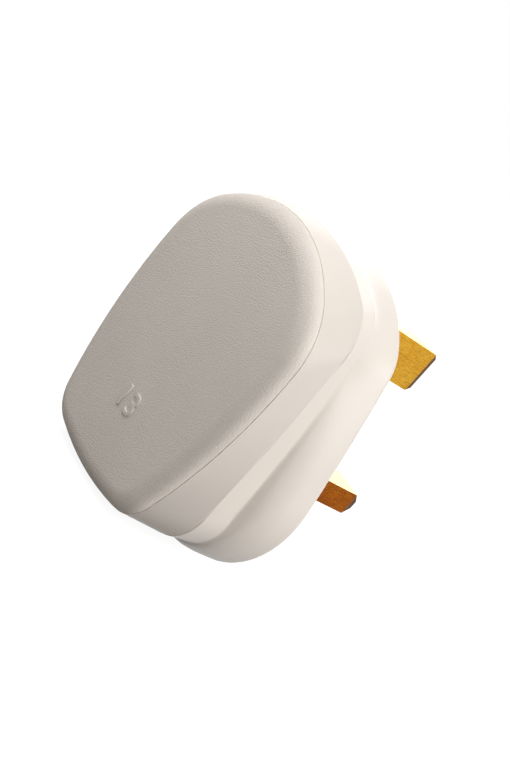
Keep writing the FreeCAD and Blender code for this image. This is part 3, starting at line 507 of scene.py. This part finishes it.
screw_steel = make_pale_metal("screw_steel", srgb(206, 206, 202), srgb(164, 162, 154), 3000,
                              (0.29, 0.42), stretch=(8, 1, 8))
fuse_nickel = make_pale_metal("fuse_nickel", srgb(222, 218, 208), srgb(190, 184, 170), 1800,
                              (0.12, 0.26), stretch=(6, 6, 1))
fuse_wire = make_pale_metal("fuse_wire", srgb(214, 212, 206), srgb(180, 178, 170), 4000,
                            (0.2, 0.36), stretch=(1, 1, 10))
print("pale metals:", [m.name for m in (screw_steel, fuse_nickel, fuse_wire)])

# %% [markdown]
# # Ceramic, fibre and the grip bar
# The fuse is a glazed ceramic tube, the washer that keeps the cover screw in place is red
# vulcanised fibre, and the cord grip is a matt moulding. None of them is a metal, so one recipe
# with two colours, a grain and a bump serves all three, at the scale of each.

# %% Pressed and fired materials
dirt_reach, dirt_strength, dirt_shade = 0.0003, 0.3, 0.6
smoother, rougher = 0.85, 1.15
pressed_bump = 0.5


def make_pressed(name, main, other, scale, roughness, depth, specular=0.5):
    finish, tree, shader, place = start_finish(name, main, roughness, specular=specular)
    grain = noise(tree, place, scale, detail=4, roughness=0.65)
    dirt = multiply(tree, edge_share(tree, dirt_reach), dirt_strength)
    colour = blend_colours(tree, spread(tree, grain, 0.38, 0.62), main, other)
    colour = blend_colours(tree, dirt, colour, scaled(other, dirt_shade))
    rough = spread(tree, grain, 0.3, 0.7, roughness * smoother, min(1, roughness * rougher))
    join(tree, colour, shader.inputs["Base Color"])
    join(tree, rough, shader.inputs["Roughness"])
    add_bump(tree, shader, grain, depth, pressed_bump)
    return finish


fuse_ceramic = make_pressed("fuse_ceramic", srgb(238, 232, 220), srgb(228, 218, 202),
                            scale=500, roughness=0.22, depth=0.000006)
red_fibre = make_pressed("red_fibre", srgb(150, 62, 46), srgb(118, 44, 34),
                         scale=2400, roughness=0.8, depth=0.00003, specular=0.3)
grip_plastic = make_pressed("grip_plastic", srgb(232, 226, 214), srgb(222, 214, 200),
                            scale=1500, roughness=0.55, depth=0.00001)
print("pressed and fired:", [m.name for m in (fuse_ceramic, red_fibre, grip_plastic)])

# %% [markdown]
# # Dressing the frame
# Each piece of the frame keeps its shape and gets one of these finishes in its material slots.

# %% Give every piece its finish
finishes = {
    "base": base_plastic, "cover": cover_plastic,
    "earth_pin": earth_brass, "neutral_pin": shaded_pin_brass, "line_pin": shaded_pin_brass,
    "line_terminal": terminal_brass, "cover_nut": terminal_brass,
    "screw_retainer": red_fibre, "cord_grip_bar": grip_plastic,
    "cover_screw": screw_steel, "cord_grip_screw_left": screw_steel,
    "cord_grip_screw_right": screw_steel, "earth_terminal_screw": screw_brass,
    "neutral_terminal_screw": screw_brass, "line_terminal_screw": screw_brass,
    "fuse_body": fuse_ceramic, "fuse_cap_lower": fuse_nickel, "fuse_cap_upper": fuse_nickel,
    "fuse_element": fuse_wire, "fuse_clip_lower": clip_brass, "fuse_clip_upper": clip_brass,
    "clip_rivet_lower": clip_brass, "clip_rivet_upper": clip_brass,
}
for name, finish in finishes.items():
    for slot in nodes[name].material_slots:
        slot.material = finish
print("pieces dressed:", len(finishes), "of", len(nodes))

# %% [markdown]
# # The raised number
# A plug of this kind has its rating moulded on the back, raised by about a fifth of a millimetre.
# Letters could be cut out in CAD, but that makes thousands of tiny faces in a solid. A text object
# with a small extrusion and a rounded edge gives the same raised figures and costs little.

# %% Mould the number on the rear face
number_middle = Vector((0.0, rear_y, -0.0067))
number_height = 0.0038
number_rise = 0.00022
number_edge = 0.00008
figure_share = 0.70
figure_spacing = 1.1
edge_steps = 2
quarter_turn = math.radians(90)

figures = bpy.data.curves.new("rating_number", type="FONT")
figures.body = "13"
figures.align_x = "CENTER"
figures.align_y = "CENTER"
figures.size = number_height / figure_share
figures.space_character = figure_spacing
figures.extrude = number_rise - number_edge
figures.bevel_depth = number_edge
figures.bevel_resolution = edge_steps
number = bpy.data.objects.new("rating_number", figures)
bpy.context.scene.collection.objects.link(number)
number.matrix_world = Matrix.Translation(number_middle) @ Matrix.Rotation(quarter_turn, 4, "X")
figures.materials.append(number_plastic)
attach(number, "root")
print("the number stands", number_rise * 1000, "mm proud")

# %% [markdown]
# # The floor
# The plug lies on a plain floor, which only has to catch its shadow. It could be a box or a curved
# sweep of paper. One large square at the height of the plug's lowest point is enough.

# %% Lay the floor
floor_size = 6.0
reach = floor_size / 2
floor_corners = [(-reach, -reach, 0), (reach, -reach, 0), (reach, reach, 0), (-reach, reach, 0)]
floor_mesh = bpy.data.meshes.new("floor")
floor_mesh.from_pydata(floor_corners, [], [(0, 1, 2, 3)])
floor = bpy.data.objects.new("floor", floor_mesh)
floor.location.z = cad_box[0].z
bpy.context.scene.collection.objects.link(floor)
floor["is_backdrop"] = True
print("the floor lies at z =", round(floor.location.z * 1000, 2), "mm")

# %% [markdown]
# The photograph is cut out on white. A floor that is simply white would need so much light that the
# plug itself would clip. So the floor is an ordinary pale diffuse surface that also glows, but only
# for rays that come from the camera or from a reflection. It then reads as white, and the plug's
# shadow still shows in it. For all other rays it is dim, so that it throws little light back up.

# %% A white floor that keeps the shadow
white = (1, 1, 1, 1)
seen_pale = (0.30, 0.30, 0.30, 1)
dim_pale = (0.14, 0.13, 0.12, 1)
near_glow, far_glow = 0.90, 1.0
near_reach, far_reach = 0.08, 0.35


def split_rays(tree, dim, seen):
    """Shader seen for rays from the camera, a reflection or glass, and shader dim for the rest."""
    ray = add_node(tree, "LightPath")
    watched = calculate(tree, "MAXIMUM", ray.outputs["Is Camera Ray"],
                        calculate(tree, "MAXIMUM", ray.outputs["Is Glossy Ray"],
                                  ray.outputs["Is Transmission Ray"]))
    choose = add_node(tree, "MixShader")
    join(tree, watched, choose.inputs["Fac"])
    join(tree, dim, choose.inputs[1])
    join(tree, seen, choose.inputs[2])
    return choose.outputs["Shader"]


floor_paint = bpy.data.materials.new("floor_paint")
floor_paint.use_nodes = True
tree = floor_paint.node_tree
tree.nodes.clear()
away = add_node(tree, "VectorMath", operation="LENGTH")
join(tree, add_node(tree, "TexCoord").outputs["Object"], away.inputs[0])
glow = add_node(tree, "Emission", {"Color": white})
join(tree, spread(tree, away.outputs["Value"], near_reach, far_reach, near_glow, far_glow),
     glow.inputs["Strength"])
both = add_node(tree, "AddShader")
join(tree, add_node(tree, "BsdfDiffuse", {"Color": seen_pale}).outputs["BSDF"], both.inputs[0])
join(tree, glow.outputs["Emission"], both.inputs[1])
dim_floor = add_node(tree, "BsdfDiffuse", {"Color": dim_pale}).outputs["BSDF"]
floor_shader = split_rays(tree, dim_floor, both.outputs["Shader"])
join(tree, floor_shader, add_node(tree, "OutputMaterial").inputs["Surface"])
floor_mesh.materials.append(floor_paint)
print("nodes in the floor's paint:", len(tree.nodes))

# %% [markdown]
# # The light
# The photograph has broad soft light and white all round. The sides are bright, the rear face lies
# in soft shade, and the shade deepens towards the cord end. One big lamp could give that, but here
# a sky that is bright near the ground and dim overhead fills the shade, and lamps add what is
# brighter. The camera and reflections see plain white instead of that sky.

# %% The surroundings
low_sky, high_sky = (0.70, 0.686, 0.678, 1), (0.13, 0.129, 0.128, 1)
lowest_look, highest_look = -0.3, 1.0

world = bpy.data.worlds.new("surroundings")
bpy.context.scene.world = world
world.use_nodes = True
tree = world.node_tree
tree.nodes.clear()
direction = add_node(tree, "SeparateXYZ")
join(tree, add_node(tree, "TexCoord").outputs["Generated"], direction.inputs["Vector"])
height = spread(tree, direction.outputs["Z"], lowest_look, highest_look)
sky = add_node(tree, "Background", {"Strength": 1.0})
join(tree, blend_colours(tree, height, low_sky, high_sky), sky.inputs["Color"])
plain_white = add_node(tree, "Background", {"Color": white, "Strength": 1.0})
surroundings = split_rays(tree, sky.outputs["Background"], plain_white.outputs["Background"])
join(tree, surroundings, add_node(tree, "OutputWorld").inputs["Surface"])
print("sky from", low_sky[0], "below to", high_sky[0], "above")

# %% [markdown]
# Each lamp has one task, so that one can be changed without the others. The front lamp stands on
# the pins' side, which makes the side bright and leaves the finger shoulder in half shade, because
# that faces backwards. The side lamp softens it. Two lamps above graze the rear face and bring out
# its grain. The pin lamp reaches the upper faces of the pins, which nearly vanish in the white.
# Each line gives a lamp's place and width in metres and its power in watts.

# %% Soft lamps
lamp_white = (1, 1, 1)
soft_warm = (1, 0.99, 0.975)


def add_lamp(name, place, aim, size, power, colour):
    data = bpy.data.lights.new(name, type="AREA")
    data.shape = "DISK"
    data.size = size
    data.energy = power
    data.color = colour
    lamp = bpy.data.objects.new(name, data)
    bpy.context.scene.collection.objects.link(lamp)
    lamp.location = place
    lamp.rotation_mode = "QUATERNION"
    lamp.rotation_quaternion = (aim - place).to_track_quat("-Z", "Y")
    lamp.visible_camera = False


middle = (cad_box[0] + cad_box[1]) / 2
pins_middle = Vector((0.004, 0.010, 0.012))
pin_lamp_place = pins_middle + Vector((-0.175, 0.170, 0.060))
lamps = (("front_lamp", (0.300, 0.200, 0.160), 0.20, 0.86),
         ("side_lamp", (0.240, -0.085, 0.110), 0.14, 0.15),
         ("top_lamp", (0.010, -0.085, 0.120), 0.08, 0.045),
         ("high_lamp", (-0.100, -0.060, 0.130), 0.10, 0.095))
for name, place, size, power in lamps:
    add_lamp(name, Vector(place), middle, size, power, soft_warm)
add_lamp("pin_lamp", pin_lamp_place, pins_middle, 0.20, 0.12, lamp_white)

# %% [markdown]
# Colour and size
# The picture is made with the plain colour transform, so a colour comes out about as it is
# written. The last lines print how far the dressed plug reaches past the frame's own box.

# %% Colour transform and sizes
bpy.context.scene.view_settings.view_transform = "Standard"
dressed_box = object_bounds()
growth = max(abs(a - b) for cad, dressed in zip(cad_box, dressed_box)
             for a, b in zip(cad, dressed))
print("the dressed plug differs from the frame by at most", round(1000 * growth, 3), "mm")
